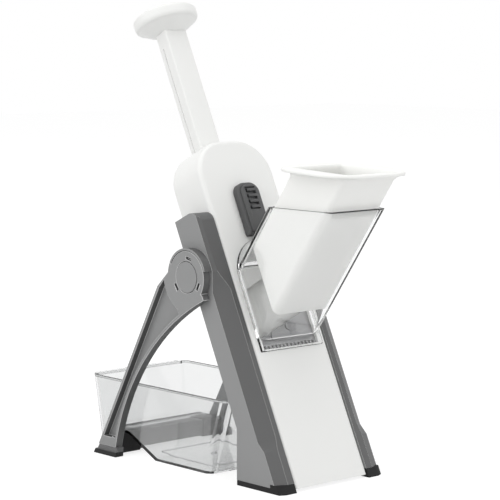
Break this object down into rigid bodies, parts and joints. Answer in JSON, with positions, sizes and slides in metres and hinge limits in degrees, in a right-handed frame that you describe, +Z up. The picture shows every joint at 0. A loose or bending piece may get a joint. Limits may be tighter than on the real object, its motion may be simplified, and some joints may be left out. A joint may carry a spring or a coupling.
{
  "type": "vertical mandoline slicer",
  "caption": "Upright push-down mandoline slicer: sprung plunger with slanting blade, tilted clear hopper and pusher, slide lock, thickness knob, folding rear leg and clear collecting bin.",
  "frame": {"origin": "on the table under the middle of the whole object's box, front to back and side to side", "axes": "+Z up, -Y towards the hopper at the front, +X to the right of someone who faces along +Y"},
  "size_m": [0.1364, 0.307, 0.3983],
  "materials": {
    "white_plastic": "satin",
    "grey_plastic": "fine grain",
    "dark_plastic": "satin",
    "rubber": "matte",
    "clear_plastic": "clear, polished",
    "steel": "brushed"
  },
  "bodies": {
    "base": {"front_shell": "white_plastic", "rear_shell": "white_plastic", "shell_screws": "steel", "left_side_frame": "grey_plastic", "right_side_frame": "grey_plastic", "frame_screws": "steel", "left_front_foot": "rubber", "right_front_foot": "rubber", "left_pivot_pin": "steel", "right_pivot_pin": "steel", "left_pivot_cap": "grey_plastic", "right_pivot_cap": "grey_plastic", "blade_guard": "dark_plastic", "shear_plate": "steel", "shear_rivets": "steel", "slice_chute": "white_plastic", "upper_rod_bracket": "white_plastic", "lower_rod_bracket": "white_plastic", "guide_rods": "steel", "latch_guide": "white_plastic", "left_return_spring": "steel", "right_return_spring": "steel"},
    "plunger": {"plunger_stem": "white_plastic", "grip_base": "white_plastic", "grip_cap": "white_plastic", "crosshead": "dark_plastic", "crosshead_screws": "steel", "blade_carrier": "dark_plastic", "slicing_blade": "steel", "blade_rivets": "steel"},
    "lock": {"lock_slider": "dark_plastic", "lock_plate": "steel", "lock_rivet": "steel"},
    "latch": {"latch_bolt": "grey_plastic"},
    "hopper": {"feed_hopper": "clear_plastic"},
    "pusher": {"pusher_cup": "white_plastic"},
    "leg": {"left_rear_arm": "grey_plastic", "right_rear_arm": "grey_plastic", "crossbar": "grey_plastic", "left_crossbar_collar": "rubber", "right_crossbar_collar": "rubber", "left_rear_boot": "rubber", "right_rear_boot": "rubber"},
    "bin": {"collection_bin": "clear_plastic"},
    "dial": {"thickness_spindle": "steel", "thickness_knob": "dark_plastic"},
    "stop": {"stop_plate": "white_plastic"}
  },
  "joints": [
    {"name": "plunger_press", "type": "slide", "parent": "base", "child": "plunger", "axis": [0, -0.4281, -0.9037], "range_m": [0, 0.085], "stiffness_N_per_m": 150, "springref_m": -0.06, "deforming": ["left_return_spring", "right_return_spring"]},
    {"name": "lock_slide", "type": "slide", "parent": "base", "child": "lock", "axis": [0, 0.4281, 0.9037], "range_m": [0, 0.01]},
    {"name": "latch_throw", "type": "slide", "parent": "base", "child": "latch", "axis": [-1, 0, 0], "range_m": [0, 0.003]},
    {"name": "hopper_release", "type": "slide", "parent": "base", "child": "hopper", "axis": [0, -0.9037, 0.4281], "range_m": [0, 0.06]},
    {"name": "pusher_slide", "type": "slide", "parent": "hopper", "child": "pusher", "axis": [0, -0.5793, 0.8151], "range_m": [-0.024, 0.11]},
    {"name": "leg_fold", "type": "hinge", "parent": "base", "child": "leg", "pos_m": [0, 0.0012, 0.16871], "axis": [-1, 0, 0], "range_deg": [0, 50]},
    {"name": "bin_pull", "type": "slide", "parent": "base", "child": "bin", "axis": [0, 0.8192, 0.5736], "range_m": [0, 0.26]},
    {"name": "thickness_turn", "type": "hinge", "parent": "base", "child": "dial", "pos_m": [0, -0.00703, 0.11396], "axis": [0, 0.9037, -0.4281], "range_deg": [0, 270]},
    {"name": "stop_draw", "type": "slide", "parent": "base", "child": "stop", "axis": [0, 0.9037, -0.4281], "range_m": [0, 0.006]}
  ],
  "couplings": [
    {"joint": "latch_throw", "follows": "lock_slide", "ratio": 0.3},
    {"joint": "stop_draw", "follows": "thickness_turn", "m_per_rad": 0.001273}
  ]
}
